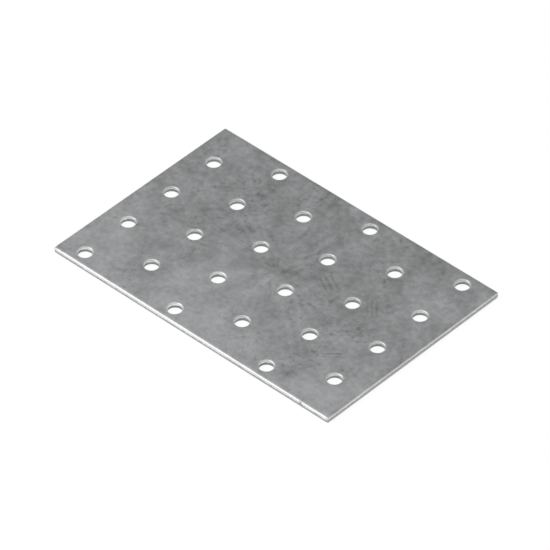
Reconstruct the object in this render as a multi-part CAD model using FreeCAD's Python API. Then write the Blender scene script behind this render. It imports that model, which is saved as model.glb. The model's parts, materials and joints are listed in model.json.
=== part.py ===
import FreeCAD, Part
import math
import os

# Mending plate
# A flat plate for joining timber, cut from galvanised steel sheet and punched with plain
# round nail holes. The holes stand in rows across the plate, and every second row is
# shifted by half a pitch. It is one piece of sheet, with nothing folded or fitted.
#
# The punches and the shears all came from above. So each cut starts with a rollover at the
# top face, where the rim was drawn down before the steel parted. On the sheared sides and
# ends a land follows, a straight burnished wall, and below it the steel tore, and that
# fracture leans back down to the underside. A hole's wall is straight below its rollover,
# because with a close-fitting punch its fracture leans too little to tell.
#
# Frame: millimetres, origin at the centre of the underside, +X along the plate,
# +Y across it and +Z up through the sheet.

# Sheet
plate_length = 120.0
plate_width = 80.0
plate_thickness = 2.0

# Nail holes
hole_diameter = 5.0
row_pitch = 20.0  # from one row to the next, along the plate
hole_pitch = 20.0  # from one hole to the next in a row, across the plate
row_stagger = 10.0  # how far every second row is shifted across the plate
first_row_inset = 9.0  # from the end of the plate at -X to the first row
end_margin = 9.0  # least distance from the last row to the end of the plate at +X
side_margin = 5.0  # least distance from a hole's centre to a long side

# Rollovers: how far each runs over the top face, and how far down the wall
side_rollover_width = 0.9
side_rollover_depth = 0.22
end_rollover_width = 0.5
end_rollover_depth = 0.16
hole_rollover_width = 0.4
hole_rollover_depth = 0.08

# Sheared walls below the rollover
side_land_depth = 0.9
end_land_depth = 0.7
fracture_lean = 0.06  # how far in the fracture has leaned where it reaches the underside

# How far a cutting tool reaches past the surface that it cuts
tool_overrun = 1.0

# Keeps a span that is a whole number of pitches from losing a copy to rounding
count_tolerance = 1e-6


def point(x, z):
    """A point of a section, in the XZ plane."""
    return FreeCAD.Vector(x, 0, z)


def chain(points):
    """Straight edges from each point to the next."""
    return [Part.makeLine(start, end) for start, end in zip(points, points[1:])]


def rollover(wall_end, top_end):
    """The drawn-down rim: an arc tangent to the top face, from the wall to where the face is flat."""
    width = top_end.x - wall_end.x
    depth = top_end.z - wall_end.z
    radius = (width**2 + depth**2) / (2 * depth)
    centre = point(top_end.x, top_end.z - radius)
    halfway = (wall_end - centre) + (top_end - centre)
    crown = centre + halfway.normalize() * radius
    return Part.Arc(wall_end, crown, top_end).toShape()


def face_of(edges):
    """The flat face that a closed run of edges bounds."""
    return Part.Face(Part.Wire(edges))


def copies(span, pitch):
    """How many copies at this pitch fit in the span, with one at each end."""
    return 1 + max(0, math.floor(span / pitch + count_tolerance))


def sheared_strip(length, width, rollover_width, rollover_depth, land_depth):
    """Sheet of the given width with both sides sheared, running along Y for the given length."""
    half = width / 2
    rim_start = plate_thickness - rollover_depth
    land_end = rim_start - land_depth
    foot = half - fracture_lean
    top = half - rollover_width
    right = [point(-foot, 0), point(foot, 0), point(half, land_end), point(half, rim_start)]
    left = [point(-half, rim_start), point(-half, land_end), point(-foot, 0)]
    edges = chain(right)
    edges.append(rollover(right[-1], point(top, plate_thickness)))
    edges.append(Part.makeLine(point(top, plate_thickness), point(-top, plate_thickness)))
    edges.append(rollover(left[0], point(-top, plate_thickness)))
    edges.extend(chain(left))
    strip = face_of(edges).extrude(FreeCAD.Vector(0, length, 0))
    strip.translate(FreeCAD.Vector(0, -length / 2, 0))
    return strip


def sheared_blank():
    """The plate before punching: what a strip cut along its sides and one cut across its ends share."""
    ends = sheared_strip(
        plate_width + 2 * tool_overrun,
        plate_length,
        end_rollover_width,
        end_rollover_depth,
        end_land_depth,
    )
    sides = sheared_strip(
        plate_length + 2 * tool_overrun,
        plate_width,
        side_rollover_width,
        side_rollover_depth,
        side_land_depth,
    )
    sides.rotate(FreeCAD.Vector(0, 0, 0), FreeCAD.Vector(0, 0, 1), 90)
    return ends.common(sides)


def punch():
    """The space of one punched hole, standing on the origin and reaching past both faces."""
    radius = hole_diameter / 2
    mouth = radius + hole_rollover_width
    rim_start = plate_thickness - hole_rollover_depth
    floor = -tool_overrun
    ceiling = plate_thickness + tool_overrun
    wall = [point(0, ceiling), point(0, floor), point(radius, floor), point(radius, rim_start)]
    above = [point(mouth, plate_thickness), point(mouth, ceiling), point(0, ceiling)]
    edges = chain(wall)
    edges.append(rollover(wall[-1], above[0]))
    edges.extend(chain(above))
    axis = FreeCAD.Vector(0, 0, 1)
    return face_of(edges).revolve(FreeCAD.Vector(0, 0, 0), axis, 360)


def hole_centres():
    """Centres of the nail holes: staggered rows, centred as a whole across the plate."""
    rows = copies(plate_length - first_row_inset - end_margin, row_pitch)
    in_row = copies(plate_width - 2 * side_margin - row_stagger, hole_pitch)
    first_x = first_row_inset - plate_length / 2
    first_y = -((in_row - 1) * hole_pitch + row_stagger) / 2
    centres = []
    for row in range(rows):
        shift = row_stagger * (row % 2)
        for hole in range(in_row):
            x = first_x + row * row_pitch
            y = first_y + shift + hole * hole_pitch
            centres.append(FreeCAD.Vector(x, y, 0))
    return centres


def plate():
    """The sheared blank with every nail hole punched through it."""
    tool = punch()
    punches = [tool.translated(centre) for centre in hole_centres()]
    return sheared_blank().cut(punches)


def main():
    """Builds the plate and writes it as one solid."""
    os.makedirs("parts", exist_ok=True)
    body = plate().Solids[0]
    body.exportStep("parts/plate.step")
    print("plate", round(body.Volume, 3), "mm3, valid", body.isValid())


main()
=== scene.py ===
"""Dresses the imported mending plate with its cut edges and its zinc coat, and sets the studio around it."""
import json
import logging
import math
from collections.abc import Mapping, Sequence
from dataclasses import dataclass, field
from enum import Enum, IntEnum

import bpy
import numpy as np
from mathutils import Matrix, Vector


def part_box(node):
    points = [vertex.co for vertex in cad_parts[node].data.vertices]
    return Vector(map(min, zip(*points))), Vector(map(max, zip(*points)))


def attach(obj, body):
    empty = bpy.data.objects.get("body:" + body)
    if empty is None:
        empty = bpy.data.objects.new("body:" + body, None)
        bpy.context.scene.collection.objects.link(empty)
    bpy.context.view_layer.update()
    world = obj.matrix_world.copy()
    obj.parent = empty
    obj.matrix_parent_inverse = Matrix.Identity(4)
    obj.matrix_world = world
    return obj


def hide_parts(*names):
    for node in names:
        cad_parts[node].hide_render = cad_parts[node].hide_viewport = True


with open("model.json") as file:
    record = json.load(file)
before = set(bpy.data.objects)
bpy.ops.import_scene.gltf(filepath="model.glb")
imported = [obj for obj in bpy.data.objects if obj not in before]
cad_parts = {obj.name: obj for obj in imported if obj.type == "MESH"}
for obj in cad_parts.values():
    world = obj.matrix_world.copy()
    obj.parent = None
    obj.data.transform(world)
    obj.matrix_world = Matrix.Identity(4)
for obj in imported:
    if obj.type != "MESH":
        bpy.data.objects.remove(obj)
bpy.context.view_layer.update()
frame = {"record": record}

logger = logging.getLogger("mending_plate")

MM = 0.001
CAD_PLATE = "plate"

# Layers of the plate's mesh that its finishes read
# The handling layer holds marks that handling left and patches of painted light and shade
TONE_LAYER = "handling_tone"
DEPTH_LAYER = "cut_depth"
# The tear layer holds the painted shade and light on the torn steel
TEAR_LAYER = "tear_tone"

# Cut depth at which a wall changes from land to tear
LAND_END = 2.0

# Where along the plate its near side has a nick, in millimetres
NICK_AT = 48.3

Array = np.ndarray
Tree = bpy.types.NodeTree
Socket = bpy.types.NodeSocket


class Side(IntEnum):
    """What covers a face of the sheet, in the order of the piece's material slots."""

    COATED = 0
    SHEARED = 1


class Fold(Enum):
    """How a run of sockets is folded into one."""

    SUM = "ADD"
    PRODUCT = "MULTIPLY"


def linear(hex_colour: str) -> tuple[float, float, float, float]:
    """Turns an sRGB hex colour into Blender's linear colour.

    Args:
        hex_colour: six hex digits, such as "b4b5b6".

    Returns:
        Linear red, green, blue and an alpha of one.
    """
    parts = [int(hex_colour[i : i + 2], 16) / 255 for i in (0, 2, 4)]
    red, green, blue = (v / 12.92 if v <= 0.04045 else ((v + 0.055) / 1.055) ** 2.4 for v in parts)
    return red, green, blue, 1.0


def per_metre(feature_mm: float) -> float:
    """Gives the texture scale whose features are this many millimetres across."""
    return 1.0 / (feature_mm * MM)


def add_node(
    tree: Tree,
    kind: str,
    settings: Mapping[str | int, object] | None = None,
    links: Mapping[str | int, Socket] | None = None,
) -> bpy.types.Node:
    """Adds one node with its settings and links.

    Args:
        tree: the node tree that takes the node.
        kind: the node's type name.
        settings: values by the name or number of an input, or else by the name of a property.
        links: output sockets by the name or number of the input that they feed.

    Returns:
        The new node.
    """
    node = tree.nodes.new(kind)
    for name, value in (settings or {}).items():
        if isinstance(name, int) or name in node.inputs:
            node.inputs[name].default_value = value
        else:
            setattr(node, name, value)
    for name, source in (links or {}).items():
        tree.links.new(source, node.inputs[name])
    return node


def new_material(name: str) -> tuple[bpy.types.Material, Tree]:
    """Makes a material with an empty node tree.

    Args:
        name: the material's name.

    Returns:
        The material and its tree.
    """
    material = bpy.data.materials.new(name)
    material.use_nodes = True
    material.node_tree.nodes.clear()
    return material, material.node_tree


def folded(tree: Tree, way: Fold, start: float, terms: Sequence[Socket]) -> Socket:
    """Adds or multiplies sockets onto a starting value.

    Args:
        tree: the tree that takes the nodes.
        way: whether the terms are added or multiplied.
        start: the value that the run starts from.
        terms: the sockets that join it.

    Returns:
        The socket that holds the result.
    """
    held = add_node(tree, "ShaderNodeMath", {"operation": way.value, 1: start}, {0: terms[0]})
    for term in terms[1:]:
        held = add_node(tree, "ShaderNodeMath", {"operation": way.value}, {0: held.outputs[0], 1: term})
    return held.outputs[0]


def toned(tree: Tree, colour: str, tone: Socket) -> Socket:
    """Lightens and darkens a colour.

    Args:
        tree: the material's tree.
        colour: the colour as sRGB hex.
        tone: what the linear colour is multiplied by.

    Returns:
        The socket that holds the toned colour.
    """
    settings = {"operation": "SCALE", 0: linear(colour)[:3]}
    return add_node(tree, "ShaderNodeVectorMath", settings, {"Scale": tone}).outputs[0]


@dataclass(frozen=True)
class Swing:
    """A noise that swings about zero.

    Its blotches lie feature_mm apart, and it swings by reach from one end to the other. Each of its
    finer octaves has octave_share of the strength of the one before.
    """

    feature_mm: float
    reach: float
    octaves: float = 2.0
    octave_share: float = 0.55

    def tone(self, tree: Tree, place: Socket) -> Socket:
        """Adds the nodes that make the noise.

        Args:
            tree: the material's tree.
            place: the coordinates that the noise reads.

        Returns:
            The socket that holds the swing.
        """
        noise = add_node(
            tree,
            "ShaderNodeTexNoise",
            {"Scale": per_metre(self.feature_mm), "Detail": self.octaves, "Roughness": self.octave_share},
            {"Vector": place},
        )
        spread = add_node(
            tree,
            "ShaderNodeMath",
            {"operation": "MULTIPLY_ADD", 1: self.reach, 2: -0.5 * self.reach},
            {0: noise.outputs[0]},
        )
        return spread.outputs[0]

    def drawn_down(self, tree: Tree, place: Socket, run_mm: float) -> Socket:
        """Adds the noise with its blotches drawn out down the wall.

        Args:
            tree: the material's tree.
            place: the coordinates of the surface.
            run_mm: how far a blotch runs down the wall.

        Returns:
            The socket that holds the swing.
        """
        settings = {"operation": "MULTIPLY", 1: (1.0, 1.0, self.feature_mm / run_mm)}
        return self.tone(tree, add_node(tree, "ShaderNodeVectorMath", settings, {0: place}).outputs[0])


@dataclass(frozen=True)
class Flecks:
    """Dark flecks in loose clusters.

    A fleck is where one noise dips, and a cluster is where a broader one is high.
    """

    fleck_mm: float = 1.9
    cluster_mm: float = 13.0
    gain: float = -0.27
    octaves: float = 1.5
    # The noise's values at which a fleck and a cluster start and are full
    fleck_span: tuple[float, float] = (0.50, 0.28)
    cluster_span: tuple[float, float] = (0.45, 0.66)

    def tone(self, tree: Tree, place: Socket) -> Socket:
        """Adds the nodes that draw the flecks.

        Args:
            tree: the material's tree.
            place: the coordinates that the noises read.

        Returns:
            The socket that holds the flecks' tone.
        """
        masks = []
        for spacing, span in ((self.fleck_mm, self.fleck_span), (self.cluster_mm, self.cluster_span)):
            settings = {"Scale": per_metre(spacing), "Detail": self.octaves}
            noise = add_node(tree, "ShaderNodeTexNoise", settings, {"Vector": place})
            mask = add_node(
                tree,
                "ShaderNodeMapRange",
                {"interpolation_type": "SMOOTHSTEP", "From Min": span[0], "From Max": span[1]},
                {"Value": noise.outputs[0]},
            )
            masks.append(mask.outputs["Result"])
        return folded(tree, Fold.PRODUCT, self.gain, masks)


@dataclass(frozen=True)
class Scratches:
    """A group of short parallel scratches in the top face, in millimetres and degrees."""

    x: float
    y: float
    turn: float
    length: float
    band: float
    spacing: float
    gain: float
    # Share of the way from the middle to an edge at which the group starts to fade
    full_share: float = 0.6
    # Height of the sine at which a scratch starts
    crest_start: float = 0.1
    # Height above the underside over which the scratches are drawn
    lowest: float = 1.0

    def tone(self, tree: Tree, place: Socket) -> Socket:
        """Adds the nodes that draw the group.

        Along the scratches the tone fades out at half their length, and across them it fades out at
        half the band's width. Inside the band, each scratch is the crest of a cosine.

        Args:
            tree: the material's tree.
            place: the coordinates of the surface.

        Returns:
            The socket that holds the group's tone.
        """
        middle = (self.x * MM, self.y * MM, 0.0)
        moved = add_node(tree, "ShaderNodeVectorMath", {"operation": "SUBTRACT", 1: middle}, {0: place})
        turned = add_node(
            tree,
            "ShaderNodeVectorRotate",
            {"rotation_type": "Z_AXIS", "Angle": -math.radians(self.turn)},
            {"Vector": moved.outputs[0]},
        )
        parts = add_node(tree, "ShaderNodeSeparateXYZ", None, {0: turned.outputs[0]})
        above = {"operation": "GREATER_THAN", 1: self.lowest * MM}
        masks = [add_node(tree, "ShaderNodeMath", above, {0: parts.outputs["Z"]}).outputs[0]]
        for axis, half in (("X", self.length / 2), ("Y", self.band / 2)):
            away = add_node(tree, "ShaderNodeMath", {"operation": "ABSOLUTE"}, {0: parts.outputs[axis]})
            edge = {"From Min": half * MM, "From Max": self.full_share * half * MM}
            fade = add_node(
                tree,
                "ShaderNodeMapRange",
                {"interpolation_type": "SMOOTHSTEP", **edge},
                {"Value": away.outputs[0]},
            )
            masks.append(fade.outputs["Result"])
        per_scratch = {"operation": "MULTIPLY", 1: 2 * math.pi * per_metre(self.spacing)}
        phase = add_node(tree, "ShaderNodeMath", per_scratch, {0: parts.outputs["Y"]})
        wave = add_node(tree, "ShaderNodeMath", {"operation": "COSINE"}, {0: phase.outputs[0]})
        start = {"From Min": self.crest_start}
        crest = add_node(tree, "ShaderNodeMapRange", start, {"Value": wave.outputs[0]})
        masks.append(crest.outputs["Result"])
        return folded(tree, Fold.PRODUCT, self.gain, masks)


@dataclass(frozen=True)
class ZincCoat:
    """Continuous hot-dip zinc on cold rolled sheet, dulled by skin passing and handling.

    The eye sees a satin grey with no spangle, broad soft clouds, a finer mottle and small dark flecks.
    """

    colour: str = "c1c2c3"
    roughness: float = 0.44
    # How much rougher the coat is where its tone is nothing than where it is one
    dull_share: float = 0.10
    cloud: Swing = Swing(26.0, 0.62)
    mottle: Swing = Swing(8.0, 0.84, 3.0)
    fine: Swing = Swing(2.2, 0.72, 3.0)
    # The real skin-pass grain is about 0.1 mm, too fine to show, so it is drawn at 0.5 mm
    grain: Swing = Swing(0.5, 0.40, 3.0)
    grain_height_mm: float = 0.004
    # Real pores in the zinc are about 0.03 mm, too fine to show, so they are drawn at 0.16 mm
    pores: Swing = Swing(0.16, 0.35, 1.0)
    flecks: Flecks = Flecks()
    # A painted highlight brightens the coat over each rim, between these cut depths
    rim_highlight_start: float = 0.1
    rim_highlight_end: float = 0.8
    rim_highlight_gain: float = 0.6
    scratches: tuple[Scratches, ...] = (
        Scratches(40.5, -17.0, 42.0, 9.0, 3.2, 1.5, -0.30),
        Scratches(17.0, 6.9, -29.0, 8.5, 5.6, 1.9, -0.22),
        Scratches(35.2, 7.4, -47.0, 8.5, 4.6, 1.6, -0.16),
    )

    def painted_rim_highlight(self, tree: Tree) -> Socket:
        """Adds the nodes that paint a highlight over the rims.

        Args:
            tree: the material's tree.

        Returns:
            The socket that holds the rims' tone.
        """
        depth = add_node(tree, "ShaderNodeAttribute", {"attribute_name": DEPTH_LAYER})
        span = {"From Min": self.rim_highlight_start, "From Max": self.rim_highlight_end, "To Max": self.rim_highlight_gain}
        rim_highlight = add_node(
            tree,
            "ShaderNodeMapRange",
            {"interpolation_type": "SMOOTHSTEP", **span},
            {"Value": depth.outputs["Fac"]},
        )
        return rim_highlight.outputs["Result"]

    def build(self) -> bpy.types.Material:
        """Builds the coat, whose tone is one plus the swings of all its patterns, the handling marks with
        their painted light and shade, and the painted rim highlight.

        Returns:
            The material.
        """
        material, tree = new_material("hot_dip_zinc_coat")
        place = add_node(tree, "ShaderNodeTexCoord").outputs["Object"]
        handled_and_painted_light = add_node(tree, "ShaderNodeAttribute", {"attribute_name": TONE_LAYER}).outputs["Fac"]
        grain = self.grain.tone(tree, place)
        patterns = (self.cloud, self.mottle, self.fine, self.flecks, self.pores, *self.scratches)
        swings = [pattern.tone(tree, place) for pattern in patterns]
        tone = folded(tree, Fold.SUM, 1.0, [*swings, grain, handled_and_painted_light, self.painted_rim_highlight(tree)])
        dulling = add_node(
            tree,
            "ShaderNodeMath",
            {"operation": "MULTIPLY_ADD", 1: -self.dull_share, 2: self.roughness + self.dull_share},
            {0: tone},
        )
        bump = add_node(
            tree,
            "ShaderNodeBump",
            {"Strength": 1.0, "Distance": self.grain_height_mm * MM / self.grain.reach},
            {"Height": grain},
        )
        looks = {
            "Base Color": toned(tree, self.colour, tone),
            "Roughness": dulling.outputs[0],
            "Normal": bump.outputs[0],
        }
        surface = add_node(tree, "ShaderNodeBsdfPrincipled", {"Metallic": 1.0}, looks)
        add_node(tree, "ShaderNodeOutputMaterial", None, {"Surface": surface.outputs[0]})
        return material


@dataclass(frozen=True)
class BurnishedLand:
    """Bare steel that the tool's flank has rubbed smooth while it cut.

    The eye sees a bright band just under each rim, with fine scores that run down the wall.
    """

    colour: str = "d4d4d4"
    roughness: float = 0.42
    # Real scores are about 0.05 mm apart, too fine to show, so they are drawn at 0.35 mm
    score: Swing = Swing(0.35, 0.5)
    score_run_mm: float = 9.0
    score_height_mm: float = 0.006


@dataclass(frozen=True)
class TornSteel:
    """Bare steel where the sheet broke away below the land.

    The eye sees a matt, grainy band, darker than the land.
    """

    colour: str = "a3a3a2"
    roughness: float = 0.62
    # The real tear's grain is about 0.05 mm, too fine to show, so it is drawn at 0.28 mm
    grain: Swing = Swing(0.28, 0.9, 4.0)
    grain_height_mm: float = 0.05


@dataclass(frozen=True)
class ShearedWall:
    """The bare wall of a cut: a burnished land above, torn steel below.

    The eye sees the line between them run unevenly, with small tongues of torn steel in the land.
    """

    land: BurnishedLand = BurnishedLand()
    torn: TornSteel = TornSteel()
    # The tongues swing the cut depth at which the land ends
    tongue: Swing = Swing(0.5, 0.9)
    tongue_run_mm: float = 1.6
    line_softness: float = 0.06

    def torn_share(self, tree: Tree, place: Socket) -> Socket:
        """Adds the nodes that part the torn steel from the land.

        Args:
            tree: the material's tree.
            place: the coordinates of the surface.

        Returns:
            The socket that is nothing on the land and one on the torn steel.
        """
        depth = add_node(tree, "ShaderNodeAttribute", {"attribute_name": DEPTH_LAYER}).outputs["Fac"]
        tongues = self.tongue.drawn_down(tree, place, self.tongue_run_mm)
        span = {"From Min": LAND_END - self.line_softness, "From Max": LAND_END + self.line_softness}
        below = add_node(
            tree,
            "ShaderNodeMapRange",
            {"interpolation_type": "SMOOTHSTEP", **span},
            {"Value": folded(tree, Fold.SUM, 0.0, [depth, tongues])},
        )
        return below.outputs["Result"]

    def build(self) -> bpy.types.Material:
        """Builds the wall, which mixes the land's and the tear's colour, roughness and relief.

        Returns:
            The material.
        """
        material, tree = new_material("sheared_bare_steel")
        land, torn = self.land, self.torn
        place = add_node(tree, "ShaderNodeTexCoord").outputs["Object"]
        handled_and_painted_light, tear = (
            add_node(tree, "ShaderNodeAttribute", {"attribute_name": name}).outputs["Fac"]
            for name in (TONE_LAYER, TEAR_LAYER)
        )
        score = land.score.drawn_down(tree, place, land.score_run_mm)
        grain = torn.grain.tone(tree, place)
        below = self.torn_share(tree, place)
        # The land's tone carries the handling layer's painted shade, and the torn steel's tone carries the
        # tear layer's painted shade and light
        land_tone = folded(tree, Fold.SUM, 1.0, [score, handled_and_painted_light])
        torn_grain_and_painted_light = folded(tree, Fold.SUM, 1.0, [grain, tear])
        colour = add_node(
            tree,
            "ShaderNodeMix",
            {"data_type": "VECTOR"},
            {0: below, 4: toned(tree, land.colour, land_tone), 5: toned(tree, torn.colour, torn_grain_and_painted_light)},
        )
        span = {"To Min": land.roughness, "To Max": torn.roughness}
        roughness = add_node(tree, "ShaderNodeMapRange", span, {"Value": below})
        scored = folded(tree, Fold.PRODUCT, land.score_height_mm / land.score.reach, [score])
        grained = folded(tree, Fold.PRODUCT, torn.grain_height_mm / torn.grain.reach, [grain])
        relief = add_node(tree, "ShaderNodeMix", {"data_type": "FLOAT"}, {0: below, 2: scored, 3: grained})
        depth = {"Strength": 1.0, "Distance": MM}
        bump = add_node(tree, "ShaderNodeBump", depth, {"Height": relief.outputs[0]})
        looks = {
            "Base Color": colour.outputs[1],
            "Roughness": roughness.outputs["Result"],
            "Normal": bump.outputs[0],
        }
        surface = add_node(tree, "ShaderNodeBsdfPrincipled", {"Metallic": 1.0}, looks)
        add_node(tree, "ShaderNodeOutputMaterial", None, {"Surface": surface.outputs[0]})
        return material


def uneven(count: int, *layers: tuple[float, int, int]) -> Array:
    """Adds layers of smooth noise on a loop, each seeded noise blurred around the loop by a bell.

    Args:
        count: how many steps the loop has.
        layers: the weight, the seed and the bell's width in steps of each layer.

    Returns:
        The noise at each step, with the first value again at the end. A layer of weight one has a
        mean of zero and a spread of one.
    """
    step = np.minimum(np.arange(count), count - np.arange(count))
    loop = np.zeros(count)
    for weight, seed, spread in layers:
        raw = np.random.default_rng(seed).normal(size=count)
        bell = np.exp(-0.5 * (step / spread) ** 2)
        smooth = np.fft.irfft(np.fft.rfft(raw) * np.fft.rfft(bell), count)
        loop = loop + weight * ((smooth - smooth.mean()) / smooth.std())
    return np.resize(loop, count + 1)


def closed_border(x: Array, y: Array) -> Array:
    """Runs once around a rectangle of grid lines.

    Args:
        x: the lines along the plate.
        y: the lines across the plate.

    Returns:
        The crossings as pairs, anticlockwise from the lowest corner and back to it.
    """
    low_y, high_x = np.full(len(x) - 1, y[0]), np.full(len(y) - 1, x[-1])
    high_y, low_x = np.full(len(x) - 1, y[-1]), np.full(len(y) - 1, x[0])
    sides = ((x[:-1], low_y), (high_x, y[:-1]), (x[:0:-1], high_y), (low_x, y[:0:-1]))
    return np.concatenate([*(np.stack(side, axis=-1) for side in sides), [[x[0], y[0]]]])


def raised(flat: Array, level: Array | float) -> Array:
    """Puts places in plan at their heights.

    Args:
        flat: rows and columns of pairs.
        level: the heights, which are spread over the rows and columns.

    Returns:
        Rows and columns of points.
    """
    return np.concatenate([flat, np.broadcast_to(level, flat.shape[:2])[..., None]], axis=-1)


@dataclass
class Skin:
    """Collects grids of points and welds them into one closed mesh."""

    points: list[Array] = field(default_factory=list)
    quads: list[Array] = field(default_factory=list)
    sides: list[Array] = field(default_factory=list)
    layers: list[Array] = field(default_factory=list)
    count: int = 0
    # Points that round to the same hundred thousandth of a millimetre are one
    weld_steps: float = 1e5

    def add(
        self,
        grid: Array,
        side: Array | Side = Side.COATED,
        depth: Array | float = 0.0,
        tear: Array | float = 0.0,
        keep: Array | None = None,
        flip: bool = False,
    ) -> None:
        """Adds a grid of points as four-sided faces.

        Args:
            grid: points in millimetres, as rows, columns and three coordinates.
            side: what covers each face, or one for all.
            depth: the cut depth at each point, or one for all.
            tear: the torn steel's painted shade and light at each point, or one for all.
            keep: which faces are kept, or none for all.
            flip: whether the faces turn the other way.
        """
        rows, columns = grid.shape[:2]
        index = np.arange(rows * columns).reshape(rows, columns)
        corners = [index[:-1, :-1], index[1:, :-1], index[1:, 1:], index[:-1, 1:]]
        quads = np.stack(corners[::-1] if flip else corners, axis=-1)
        kept = np.ones(quads.shape[:2], dtype=bool) if keep is None else keep
        layers = np.stack([np.broadcast_to(values, (rows, columns)).ravel() for values in (depth, tear)])
        self.points.append(grid.reshape(-1, 3))
        self.quads.append(quads[kept] + self.count)
        self.sides.append(np.broadcast_to(side, quads.shape[:2])[kept])
        self.layers.append(layers[:, quads[kept]])
        self.count += rows * columns

    def weld(self) -> tuple[Array, Array, Array, Array]:
        """Joins points that coincide and drops unused ones.

        Returns:
            The points, the faces, what covers each face, and the cut depth and the torn steel's painted shade
            and light at its corners.
        """
        points, quads = np.concatenate(self.points), np.concatenate(self.quads)
        used = np.unique(quads)
        keys = np.round(points[used] * self.weld_steps).astype(np.int64)
        first, merged = np.unique(keys, axis=0, return_index=True, return_inverse=True)[1:]
        lookup = np.zeros(len(points), dtype=np.int64)
        lookup[used] = merged.ravel()
        sides, layers = np.concatenate(self.sides), np.concatenate(self.layers, axis=1)
        return points[used][first], lookup[quads], sides, layers


@dataclass(frozen=True)
class CutWall:
    """The section of a cut wall in millimetres, from the face that the tool entered to the underside.

    The rim is a quarter of an ellipse, the land under it is straight, and the tear leans in by lean
    over the rest. The wavers are how far the tear's line and its surface stray.
    """

    rim_width: float
    rim_depth: float
    land_depth: float
    lean: float
    rim_steps: int = 7
    land_steps: int = 2
    tear_steps: int = 4
    line_waver: float = 0.09
    tear_waver: float = 0.018
    # Painted tone of the torn steel at its line with the land and at its foot: by default painted shade where
    # the tear steps in under the land, and a painted reflection of the floor at the foot
    line_painted_tone: float = -0.45
    foot_painted_tone: float = 0.45
    # How fast the one gives way to the other
    tone_power: int = 3
    # Weight, seed and width of the layers of noise that the tear's line follows
    line_noise: tuple[tuple[float, int, int], ...] = ((0.6, 31, 4), (0.6, 32, 1))
    # Width and first seed of the noise that the tear's rows follow, and how many seeds a cut takes up
    tear_spread: int = 1
    tear_seed: int = 41
    seeds_per_cut: int = 10

    def rim_turns(self) -> Array:
        """Gives the angle of each of the rim's rows on its ellipse."""
        return np.linspace(0, math.pi / 2, self.rim_steps + 1)[:, None]

    def land_shares(self) -> Array:
        """Gives how far down the land each of its rows lies."""
        return np.arange(1, self.land_steps + 1)[:, None] / self.land_steps

    def tear_shares(self) -> Array:
        """Gives how far down the tear each of its rows lies."""
        return np.arange(1, self.tear_steps + 1)[:, None] / self.tear_steps

    def covers(self) -> Array:
        """Gives what covers each band of faces, from the top down."""
        bare = self.land_steps + self.tear_steps
        return np.repeat([Side.COATED, Side.SHEARED], [self.rim_steps, bare])[:, None]

    def depths(self) -> Array:
        """Counts the cut depth up from nothing at the top face.

        Returns:
            The depth of each row: one at the rim's end, two at the land's and three at the foot.
        """
        rim = np.arange(self.rim_steps + 1)[:, None] / self.rim_steps
        return np.concatenate([rim, 1 + self.land_shares(), LAND_END + self.tear_shares()])

    def painted_tear_tones(self) -> Array:
        """Fades the torn steel's painted shade and light from the line's to the foot's, with a power of the
        way left.

        Returns:
            The tone at each row, with nothing above the land's last row.
        """
        left = np.concatenate([[[1.0]], 1 - self.tear_shares()])
        tones = self.foot_painted_tone + (self.line_painted_tone - self.foot_painted_tone) * left**self.tone_power
        return np.concatenate([np.zeros((self.rim_steps + self.land_steps, 1)), tones])

    def strays(self, count: int, number: int = 0) -> tuple[Array, Array]:
        """Draws how far the tear strays around a cut.

        Args:
            count: how many steps there are around the cut.
            number: the cut's number, which moves its seeds.

        Returns:
            How far the tear's line strays up, and how far each of its rows strays out. The foot doesn't.
        """
        line = uneven(count, *((weight, seed + number, spread) for weight, seed, spread in self.line_noise))
        first = self.tear_seed + self.seeds_per_cut * number
        rough = np.array([uneven(count, (1.0, first + k, self.tear_spread)) for k in range(self.tear_steps)])
        rough[-1] = 0.0
        return self.line_waver * line, self.tear_waver * rough


@dataclass(frozen=True)
class HandlingAndLightMark:
    """A soft light or dark patch on the plate, in millimetres and degrees. Most are marks that handling left;
    some are painted light and shade.
    """

    x: float
    y: float
    reach_x: float
    reach_y: float
    turn: float
    gain: float

    def tone(self, x: Array, y: Array) -> Array:
        """Gives the patch's tone: its gain times a bell over the turned and scaled distance from its centre.

        Args:
            x: places along the plate in millimetres.
            y: places across the plate in millimetres.

        Returns:
            The tone at each place.
        """
        c, s = math.cos(math.radians(self.turn)), math.sin(math.radians(self.turn))
        along = (c * (x - self.x) + s * (y - self.y)) / self.reach_x
        across = (c * (y - self.y) - s * (x - self.x)) / self.reach_y
        return self.gain * np.exp(-0.5 * (along**2 + across**2))


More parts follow.
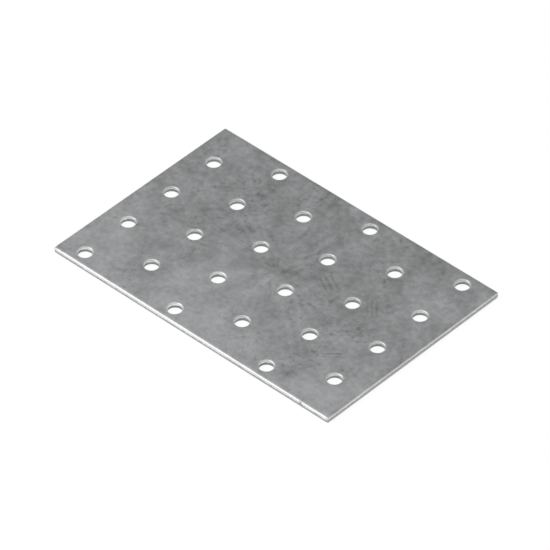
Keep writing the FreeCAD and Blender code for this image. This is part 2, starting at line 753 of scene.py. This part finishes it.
def handling_and_painted_light_marks() -> list[HandlingAndLightMark]:
    """Lists the marks that handling left on this plate, and the patches of painted light and shade."""
    return [
        # Where the coat is paler: first a painted highlight along the whole near side, which faces the light,
        # then patches where handling left the coat pale
        HandlingAndLightMark(0.0, -38.0, 90.0, 9.0, 0.0, 0.17),
        HandlingAndLightMark(-46.0, -25.0, 16.0, 12.0, 8.0, 0.13),
        HandlingAndLightMark(5.0, -34.0, 18.0, 6.0, 0.0, 0.08),
        HandlingAndLightMark(-9.0, -36.0, 6.0, 4.0, 0.0, 0.16),
        HandlingAndLightMark(54.0, -36.0, 6.0, 4.0, 0.0, 0.12),
        HandlingAndLightMark(-42.0, -36.0, 6.0, 4.0, 0.0, 0.08),
        HandlingAndLightMark(15.0, -29.0, 4.0, 4.0, 0.0, 0.08),
        HandlingAndLightMark(-6.0, 12.0, 5.0, 4.0, 0.0, 0.09),
        HandlingAndLightMark(-24.0, 37.0, 5.0, 3.0, 0.0, 0.08),
        HandlingAndLightMark(20.0, 32.0, 4.0, 6.0, 0.0, 0.07),
        HandlingAndLightMark(18.0, 4.0, 4.0, 4.0, 0.0, 0.06),
        HandlingAndLightMark(56.0, -27.0, 6.0, 12.0, 0.0, 0.13),
        HandlingAndLightMark(43.0, 23.0, 7.0, 9.0, 20.0, 0.15),
        HandlingAndLightMark(-57.0, -13.0, 4.0, 10.0, 5.0, 0.08),
        HandlingAndLightMark(-12.0, -14.0, 8.0, 9.0, 20.0, 0.23),
        HandlingAndLightMark(-44.0, 10.0, 6.0, 7.0, 0.0, 0.09),
        HandlingAndLightMark(57.0, 8.0, 4.0, 6.0, 0.0, 0.08),
        HandlingAndLightMark(-57.0, 28.0, 4.0, 4.0, 0.0, 0.07),
        HandlingAndLightMark(45.0, -11.0, 5.0, 4.0, 0.0, 0.06),
        # Where the coat has dulled
        HandlingAndLightMark(-58.0, 8.0, 4.0, 6.0, 0.0, -0.20),
        HandlingAndLightMark(-54.0, 37.0, 6.0, 4.0, 0.0, -0.07),
        HandlingAndLightMark(49.0, -28.0, 4.0, 3.0, 0.0, -0.06),
        HandlingAndLightMark(-27.0, 24.0, 12.0, 9.0, -20.0, -0.12),
        HandlingAndLightMark(-19.0, 14.0, 7.0, 6.0, -30.0, -0.12),
        HandlingAndLightMark(-30.0, 2.0, 15.0, 7.0, -10.0, -0.12),
        HandlingAndLightMark(3.0, 32.0, 12.0, 7.0, 0.0, -0.11),
        HandlingAndLightMark(13.0, 22.0, 8.0, 6.0, 0.0, -0.11),
        HandlingAndLightMark(-36.0, 24.0, 5.0, 6.0, 0.0, -0.11),
        HandlingAndLightMark(24.0, -4.0, 5.0, 5.0, 0.0, -0.09),
        HandlingAndLightMark(33.0, 20.0, 4.0, 5.0, 0.0, -0.11),
        HandlingAndLightMark(4.0, 4.0, 9.0, 7.0, 0.0, -0.12),
        HandlingAndLightMark(10.0, -18.0, 6.0, 6.0, 0.0, -0.17),
        HandlingAndLightMark(30.0, 35.5, 6.0, 3.5, -20.0, -0.16),
        HandlingAndLightMark(47.0, 38.0, 11.0, 4.0, 0.0, -0.09),
        HandlingAndLightMark(37.0, 0.0, 9.0, 9.0, 0.0, -0.16),
        HandlingAndLightMark(31.0, -27.0, 6.0, 5.0, 0.0, -0.17),
        HandlingAndLightMark(39.0, -32.0, 5.0, 5.0, 0.0, -0.08),
        HandlingAndLightMark(-32.0, -32.0, 6.0, 5.0, 0.0, -0.14),
        # Small dark spots in the coat
        HandlingAndLightMark(-28.0, 23.4, 1.4, 0.9, -35.0, -0.20),
        HandlingAndLightMark(-37.0, 5.5, 1.0, 0.9, 0.0, -0.20),
        HandlingAndLightMark(-24.5, -15.0, 1.3, 0.9, -30.0, -0.16),
        HandlingAndLightMark(-33.5, -15.5, 1.6, 0.9, 20.0, -0.16),
        HandlingAndLightMark(-42.5, -21.0, 1.0, 1.0, 0.0, -0.14),
        HandlingAndLightMark(37.0, -32.0, 1.2, 2.0, 20.0, -0.20),
        HandlingAndLightMark(45.0, -29.0, 1.6, 1.1, 0.0, -0.18),
        # Painted shade along the cut edges, where they catch less light: the end at +X, its near corner, the
        # far side and the nick
        HandlingAndLightMark(60.0, -20.0, 0.6, 26.0, 0.0, -0.06),
        HandlingAndLightMark(60.0, -38.0, 0.7, 6.0, 0.0, -0.26),
        HandlingAndLightMark(0.0, 39.7, 90.0, 0.45, 0.0, -0.11),
        HandlingAndLightMark(NICK_AT, -40.1, 0.32, 0.75, 0.0, -0.66),
    ]


def blank_size() -> tuple[float, float, float]:
    """Measures the CAD plate.

    Returns:
        Its length, width and thickness in millimetres.
    """
    low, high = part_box(CAD_PLATE)
    length, width, thickness = (round((top - bottom) / MM, 3) for bottom, top in zip(low, high))
    return length, width, thickness


def bolt_patterns() -> list[Mapping[str, object]]:
    """Gives the record's bolt patterns, which hold every nail hole."""
    return [mount for mount in frame["record"]["mounts"] if mount["kind"] == "bolt_pattern"]


def hole_centres() -> list[tuple[float, float]]:
    """Works out the nail holes' centres from the bolt patterns.

    A pattern has a hole at each corner of its rectangle. One with no spacing along the plate has its
    holes in one row.

    Returns:
        The centres in millimetres, row by row along the plate.
    """
    centres = set()
    for pattern in bolt_patterns():
        middle = [place / MM for place in pattern["pos_m"][:2]]
        half = [pattern["dims"].get(name, 0.0) / 2 for name in ("spacing_x_mm", "spacing_y_mm")]
        for sign_x, sign_y in ((-1, -1), (-1, 1), (1, -1), (1, 1)):
            centres.add((round(middle[0] + sign_x * half[0], 3), round(middle[1] + sign_y * half[1], 3)))
    return sorted(centres)


@dataclass
class NailPlate:
    """The zinc-coated sheet with its sheared sides and punched nail holes, in millimetres."""

    length: float
    width: float
    thickness: float
    hole_radius: float
    centres: list[tuple[float, float]]
    # Each hole's faces are rings inside a square of sheet this wide
    cell: float = 10.0
    # Where the rings lie, as shares of the way from the hole's mouth to the square's border
    rings: tuple[float, ...] = (0.0, 0.07, 0.16, 0.28, 0.43, 0.60, 0.79, 1.0)
    grid_step: float = 0.7
    sharp_angle: float = 35.0
    corner_blunting: float = 0.08
    dish_depth: float = 0.02
    dish_reach: float = 1.0
    nick_width: float = 0.3
    nick_depth: float = 0.22
    # Grid lines over the nick, in nick widths from its middle
    nick_lines: tuple[float, ...] = (-1.6, -0.8, 0.0, 0.8, 1.6)
    # Share of its depth that the nick keeps at the land's end, and by which it sinks the rim
    nick_kept: float = 0.5
    near: CutWall = CutWall(1.1, 0.30, 0.85, 0.06)
    right: CutWall = CutWall(0.55, 0.11, 0.62, 0.06)
    far: CutWall = CutWall(0.6, 0.08, 0.9, 0.06)
    left: CutWall = CutWall(0.5, 0.07, 0.9, 0.06)
    hole: CutWall = CutWall(
        rim_width=0.85,
        rim_depth=0.24,
        land_depth=0.60,
        lean=0.10,
        rim_steps=6,
        # In the holes the painted tone darkens the tear towards its foot, as painted shade down in the hole
        line_painted_tone=0.1,
        foot_painted_tone=-0.2,
        line_noise=((0.7, 100, 3), (0.5, 150, 1)),
        tear_spread=2,
        tear_seed=200,
    )

    @classmethod
    def from_frame(cls) -> "NailPlate":
        """Takes the blank and its holes from the CAD model."""
        return cls(*blank_size(), bolt_patterns()[0]["dims"]["hole_r_mm"], hole_centres())

    def grid_lines(self, places: Array, start: float, end: float) -> Array:
        """Gives the grid lines across one direction of the sheet.

        The holes' squares, and what is left of the face on either side of them, are split evenly into
        steps of about the grid step. A square that passes the end of the flat face is cut off there.

        Args:
            places: where the holes' centres are in this direction.
            start: where the flat face starts in this direction.
            end: where the flat face ends.

        Returns:
            The lines, from one end of the flat face to the other.
        """
        cells = round((places.max() - places.min()) / self.cell) + 1
        borders = np.clip(places.min() + self.cell * (np.arange(cells + 1) - 0.5), start, end)
        borders = np.unique(np.concatenate([[start], borders, [end]]))
        lines = [np.array([start])]
        for low, high in zip(borders, borders[1:]):
            count = max(1, round((high - low) / self.grid_step))
            lines.append(np.linspace(low, high, count + 1)[1:])
        return np.concatenate(lines)

    def with_nick_lines(self, lines: Array) -> Array:
        """Adds close lines over the nick, and drops the ones within half its width of them.

        Args:
            lines: the grid lines along the plate.

        Returns:
            The new lines.
        """
        close = NICK_AT + self.nick_width * np.array(self.nick_lines)
        apart = np.abs(lines[:, None] - close).min(axis=1) > self.nick_width / 2
        return np.sort(np.concatenate([lines[apart], close]))

    def add_faces(self, skin: Skin, x: Array, y: Array) -> None:
        """Adds the top face and the underside: a flat grid that leaves out the holes' squares.

        Args:
            skin: the mesh that takes the faces.
            x: the grid lines along the plate.
            y: the grid lines across the plate.
        """
        across, along = np.meshgrid(0.5 * (y[1:] + y[:-1]), 0.5 * (x[1:] + x[:-1]))
        plain = np.ones(along.shape, dtype=bool)
        for cx, cy in self.centres:
            plain &= (np.abs(along - cx) > self.cell / 2) | (np.abs(across - cy) > self.cell / 2)
        flat = np.stack(np.meshgrid(x, y, indexing="ij"), axis=-1)
        for height, flip in ((self.thickness, False), (0.0, True)):
            skin.add(raised(flat, height), keep=plain, flip=flip)

    def cell_border(self, centre: Array, x: Array, y: Array) -> tuple[Array, Array]:
        """Gives the border of a hole's square, and the ray from the centre that each of its points serves.

        The ray turns by a quarter along each side of the square, evenly with the distance run. The
        first corner is at two and a half quarters.

        Args:
            centre: the hole's centre.
            x: the grid lines along the plate.
            y: the grid lines across the plate.

        Returns:
            The border's points and the rays, both as arrays of pairs.
        """
        xs, ys = (
            lines[np.abs(lines - place) < self.cell / 2 + 1 / Skin.weld_steps]
            for lines, place in zip((x, y), centre)
        )
        fx, fy = (xs - xs[0]) / (xs[-1] - xs[0]), (ys - ys[0]) / (ys[-1] - ys[0])
        quarters = np.concatenate([fx[:-1], 1 + fy[:-1], 3 - fx[:0:-1], 4 - fy[:0:-1], [4.0]])
        angle = (quarters + 2.5) * math.pi / 2
        return closed_border(xs, ys), np.stack([np.cos(angle), np.sin(angle)], axis=-1)

    def add_hole_faces(self, skin: Skin, centre: Array, ray: Array, border: Array) -> None:
        """Adds the sheet around a hole on both faces, as rings from its mouth to its square's border.

        The top face is dished by a bell over the distance from the mouth, which fades out towards the
        border. The bell takes the border to lie a third of the square's width away.

        Args:
            skin: the mesh that takes the faces.
            centre: the hole's centre.
            ray: the rays from the centre.
            border: the points of the border that the rays serve.
        """
        share = np.array(self.rings)[:, None]
        away = share * self.cell / 3
        dish = self.dish_depth * np.exp(-0.5 * (away / self.dish_reach) ** 2) * (1 - share)
        mouth, foot = self.hole_radius + self.hole.rim_width, self.hole_radius + self.hole.lean
        for level, radius, flip in ((self.thickness - dish, mouth, False), (0.0, foot, True)):
            flat = (1 - share[..., None]) * (centre + radius * ray) + share[..., None] * border
            skin.add(raised(flat, level), flip=flip)

    def add_hole_wall(self, skin: Skin, number: int, centre: Array, ray: Array) -> None:
        """Adds a hole's cut wall, whose tear line and torn surface are uneven.

        Args:
            skin: the mesh that takes the faces.
            number: the hole's number.
            centre: the hole's centre.
            ray: the rays from the centre.
        """
        wall, count = self.hole, len(ray) - 1
        line, rough = wall.strays(count, number)
        turn, tear = wall.rim_turns(), wall.tear_shares()
        rim_end = self.thickness - self.dish_depth - wall.rim_depth
        land_end = rim_end - wall.land_depth + line
        reach = (
            self.hole_radius + wall.rim_width * (1 - np.sin(turn)),
            np.full((wall.land_steps, 1), self.hole_radius),
            self.hole_radius + wall.lean * tear + rough,
        )
        level = (
            self.thickness - self.dish_depth - wall.rim_depth * (1 - np.cos(turn)),
            rim_end + (land_end - rim_end) * wall.land_shares(),
            land_end * (1 - tear),
        )
        even = np.zeros(count + 1)
        radius, height = (np.concatenate([rows + even for rows in part]) for part in (reach, level))
        grid = raised(centre + radius[..., None] * ray, height)
        skin.add(grid, wall.covers(), wall.depths(), wall.painted_tear_tones(), flip=True)

    def nick(self, inner: Array) -> Array:
        """Gives how deep the nick is at each point of the outline: a bell along the near side."""
        bell = np.exp(-0.5 * ((inner[:, 0] - NICK_AT) / self.nick_width) ** 2)
        return self.nick_depth * bell * (inner[:, 1] == inner[:, 1].min())

    def add_outline(self, skin: Skin, x: Array, y: Array) -> None:
        """Adds the sheared wall around the blank, and the strip of underside that it stands on.

        The section runs down from the flat face's outline to the underside's, and changes from the
        side's to the end's at the corners, where both share one mitred edge. The nick is deepest at the
        rim's end, where it also sinks the rim, and grows shallower down the land.

        Args:
            skin: the mesh that takes the faces.
            x: the grid lines along the plate.
            y: the grid lines across the plate.
        """
        inner = closed_border(x, y)
        wall, walls, count = self.near, (self.near, self.right, self.far, self.left), len(inner) - 1
        sides = ((1, y, 0), (0, x, -1), (1, y, -1), (0, x, 0))
        on = np.stack([inner[:, axis] == lines[end] for axis, lines, end in sides])
        outward = on.T @ np.array([[0.0, -1.0], [1.0, 0.0], [0.0, 1.0], [-1.0, 0.0]])
        outer = np.where(outward == 0, inner, outward * np.array([self.length, self.width]) / 2)
        outer = outer - np.all(outward != 0, axis=1)[:, None] * outward * self.corner_blunting
        foot = outer - outward * wall.lean
        share = (on / on.sum(axis=0)).T
        rim_depth = share @ np.array([each.rim_depth for each in walls])
        land_depth = share @ np.array([each.land_depth for each in walls])
        line, rough = wall.strays(count)
        nick = self.nick(inner)
        turn, land, tear = wall.rim_turns(), wall.land_shares(), wall.tear_shares()
        rim_end = self.thickness - rim_depth - self.nick_kept * nick
        land_end = self.thickness - rim_depth - land_depth + line
        out, sink = np.sin(turn), 1 - np.cos(turn)
        rim = inner + (outer - inner) * out[..., None] - outward * (nick * out**2)[..., None]
        straight = outer - outward * (nick * (1 - (1 - self.nick_kept) * land))[..., None]
        torn = outer + (foot - outer) * tear[..., None] - outward * np.abs(rough)[..., None]
        grids = (
            raised(rim, self.thickness - rim_depth * sink - self.nick_kept * nick * out),
            raised(straight, rim_end + (land_end - rim_end) * land),
            raised(torn, land_end * (1 - tear)),
        )
        skin.add(np.concatenate(grids), wall.covers(), wall.depths(), wall.painted_tear_tones())
        skin.add(raised(np.stack([inner, foot]), 0.0), flip=True)

    def build(self) -> bpy.types.Object:
        """Builds the plate as one closed mesh with its layers: handling marks with painted light and shade,
        cut depth, and the torn steel's painted shade and light.

        Returns:
            The plate's object.
        """
        half_length, half_width = self.length / 2, self.width / 2
        along, across = np.array(self.centres).T
        x = self.grid_lines(along, self.left.rim_width - half_length, half_length - self.right.rim_width)
        y = self.grid_lines(across, self.near.rim_width - half_width, half_width - self.far.rim_width)
        x = self.with_nick_lines(x)
        skin = Skin()
        self.add_faces(skin, x, y)
        for number, centre in enumerate(np.array(self.centres)):
            border, ray = self.cell_border(centre, x, y)
            self.add_hole_faces(skin, centre, ray, border)
            self.add_hole_wall(skin, number, centre, ray)
        self.add_outline(skin, x, y)
        points, quads, sides, (depths, painted_tear_tones) = skin.weld()
        mesh = bpy.data.meshes.new("nail_plate")
        mesh.vertices.add(len(points))
        mesh.vertices.foreach_set("co", (points * MM).ravel())
        mesh.loops.add(quads.size)
        mesh.loops.foreach_set("vertex_index", quads.ravel().astype(np.int32))
        mesh.polygons.add(len(quads))
        mesh.polygons.foreach_set("loop_start", np.arange(0, quads.size, 4, dtype=np.int32))
        mesh.update(calc_edges=True)
        mesh.polygons.foreach_set("material_index", sides.astype(np.int32))
        mesh.polygons.foreach_set("use_smooth", np.ones(len(quads), dtype=bool))
        mesh.set_sharp_from_angle(angle=math.radians(self.sharp_angle))
        tone = sum(mark.tone(points[:, 0], points[:, 1]) for mark in handling_and_painted_light_marks())
        layers = ((TONE_LAYER, "POINT", tone), (DEPTH_LAYER, "CORNER", depths), (TEAR_LAYER, "CORNER", painted_tear_tones))
        for name, domain, values in layers:
            layer = mesh.attributes.new(name, "FLOAT", domain)
            layer.data.foreach_set("value", values.ravel().astype(np.float32))
        plate = bpy.data.objects.new("nail_plate", mesh)
        bpy.context.scene.collection.objects.link(plate)
        return plate

    def dress(self, plate: bpy.types.Object) -> None:
        """Gives the plate its finishes, in the order of Side, and puts it in the frame.

        Args:
            plate: the plate's object.
        """
        for finish in (ZincCoat(), ShearedWall()):
            plate.data.materials.append(finish.build())
        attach(plate, "root")
        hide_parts(CAD_PLATE)


@dataclass
class Studio:
    """The pale floor, the even room and the one broad soft light, in metres."""

    floor_half: float = 12.0
    # The floor lies this far below the plate, so that the two faces don't coincide
    floor_gap: float = 0.00001
    floor_colour: str = "f2f2f2"
    # What the eye sees of the floor: its own white, and how much of the light it catches
    floor_glow: float = 0.91
    floor_catch: float = 0.14
    # The room's radiance at the horizon and above it, and the heights between which it changes
    horizon_level: float = 1.0
    room_level: float = 0.52
    horizon_top: float = 0.03
    room_start: float = 0.17
    # What the ceiling adds overhead, and the heights between which it comes in
    ceiling_gain: float = 0.5
    ceiling_rim: float = 0.78
    ceiling_full: float = 0.97
    key_aim: tuple[float, float, float] = (-0.52, -0.50, 0.69)
    key_distance: float = 2.4
    key_size: float = 2.2
    key_level: float = 1.35

    def add_floor(self) -> None:
        """Lays the floor: white to the eye and in reflections, and plain pale paint to all other light."""
        mesh = bpy.data.meshes.new("floor")
        reach, level = self.floor_half, -self.floor_gap
        turns = ((-1, -1), (1, -1), (1, 1), (-1, 1))
        corners = [(reach * x, reach * y, level) for x, y in turns]
        mesh.from_pydata(corners, [], [(0, 1, 2, 3)])
        floor = bpy.data.objects.new("floor", mesh)
        bpy.context.scene.collection.objects.link(floor)
        material, tree = new_material("pale_studio_paper")
        path = add_node(tree, "ShaderNodeLightPath")
        seen = path.outputs["Is Camera Ray"]
        for ray in ("Is Glossy Ray", "Is Transmission Ray"):
            either = {0: seen, 1: path.outputs[ray]}
            seen = add_node(tree, "ShaderNodeMath", {"operation": "MAXIMUM"}, either).outputs[0]
        paint = add_node(tree, "ShaderNodeBsdfDiffuse", {"Color": linear(self.floor_colour)})
        catch = (self.floor_catch, self.floor_catch, self.floor_catch, 1.0)
        shaded = add_node(tree, "ShaderNodeBsdfDiffuse", {"Color": catch})
        glow = add_node(tree, "ShaderNodeEmission", {"Strength": self.floor_glow})
        white = add_node(tree, "ShaderNodeAddShader", None, {0: shaded.outputs[0], 1: glow.outputs[0]})
        ways = {0: seen, 1: paint.outputs[0], 2: white.outputs[0]}
        both = add_node(tree, "ShaderNodeMixShader", None, ways)
        add_node(tree, "ShaderNodeOutputMaterial", None, {"Surface": both.outputs[0]})
        mesh.materials.append(material)

    def add_room(self) -> None:
        """Lights the room: white at the horizon, an even grey above it, and a paler ceiling overhead."""
        world = bpy.data.worlds.new("studio_room")
        world.use_nodes = True
        tree = world.node_tree
        tree.nodes.clear()
        aim = add_node(tree, "ShaderNodeTexCoord")
        height = add_node(tree, "ShaderNodeSeparateXYZ", None, {0: aim.outputs["Generated"]})
        bands = (
            (self.horizon_top, self.room_start, self.horizon_level, self.room_level),
            (self.ceiling_rim, self.ceiling_full, 0.0, self.ceiling_gain),
        )
        levels = []
        for start, end, before, after in bands:
            span = {"From Min": start, "From Max": end, "To Min": before, "To Max": after}
            level = add_node(
                tree,
                "ShaderNodeMapRange",
                {"interpolation_type": "SMOOTHSTEP", **span},
                {"Value": height.outputs["Z"]},
            )
            levels.append(level.outputs["Result"])
        strength = folded(tree, Fold.SUM, 0.0, levels)
        light = add_node(tree, "ShaderNodeBackground", None, {"Strength": strength})
        add_node(tree, "ShaderNodeOutputWorld", None, {"Surface": light.outputs[0]})
        bpy.context.scene.world = world

    def add_key(self) -> None:
        """Hangs the soft light, whose power gives its face the radiance of the key level."""
        light = bpy.data.lights.new("soft_key", "AREA")
        light.shape = "SQUARE"
        light.size = self.key_size
        light.energy = self.key_level * math.pi * self.key_size**2
        lamp = bpy.data.objects.new("soft_key", light)
        aim = Vector(self.key_aim).normalized()
        lamp.location = aim * self.key_distance
        lamp.rotation_euler = aim.to_track_quat("Z", "Y").to_euler()
        bpy.context.scene.collection.objects.link(lamp)


@dataclass
class PhotoCamera:
    """The long lens that looks down on the plate from its near right corner."""

    turn: float = 43.79006
    rise: float = 41.66733
    roll: float = -0.91743
    view_angle: float = 4.675668
    pixels: int = 550
    pixels_per_mm: float = 3.126007
    target: tuple[float, float, float] = (1.587, -1.829, 1.957)
    clip_start: float = 0.1
    clip_end: float = 100.0

    def add(self) -> None:
        """Adds the camera.

        The target is at the picture's centre, and a millimetre there spans the given pixels.
        """
        turn, rise, roll = (math.radians(angle) for angle in (self.turn, self.rise, self.roll))
        back = Vector((math.sin(turn) * math.cos(rise), -math.cos(turn) * math.cos(rise), math.sin(rise)))
        right = Vector((math.cos(turn), math.sin(turn), 0.0))
        up = back.cross(right)
        level = math.cos(roll) * right + math.sin(roll) * up
        upright = math.cos(roll) * up - math.sin(roll) * right
        distance = self.pixels / 2 / math.tan(math.radians(self.view_angle) / 2) / self.pixels_per_mm
        lens = bpy.data.cameras.new("photo_camera")
        lens.sensor_fit = "HORIZONTAL"
        lens.angle = math.radians(self.view_angle)
        lens.clip_start = self.clip_start
        lens.clip_end = self.clip_end
        camera = bpy.data.objects.new("photo_camera", lens)
        place = (Vector(self.target) + back * distance) * MM
        turned = Matrix((level, upright, back)).transposed().to_4x4()
        camera.matrix_world = Matrix.Translation(place) @ turned
        bpy.context.scene.collection.objects.link(camera)
        bpy.context.scene.camera = camera


def main() -> None:
    """Builds the plate, the studio and the camera, and reports the piece."""
    logging.basicConfig(level=logging.INFO, format="%(name)s: %(message)s")
    sheet = NailPlate.from_frame()
    plate = sheet.build()
    sheet.dress(plate)
    triangles = sum(len(face.vertices) - 2 for face in plate.data.polygons)
    logger.info("%s: %d points, %d triangles", plate.name, len(plate.data.vertices), triangles)
    studio = Studio()
    studio.add_floor()
    studio.add_room()
    studio.add_key()
    PhotoCamera().add()
    bpy.context.scene.view_settings.view_transform = "Standard"


if __name__ == "__main__":
    main()
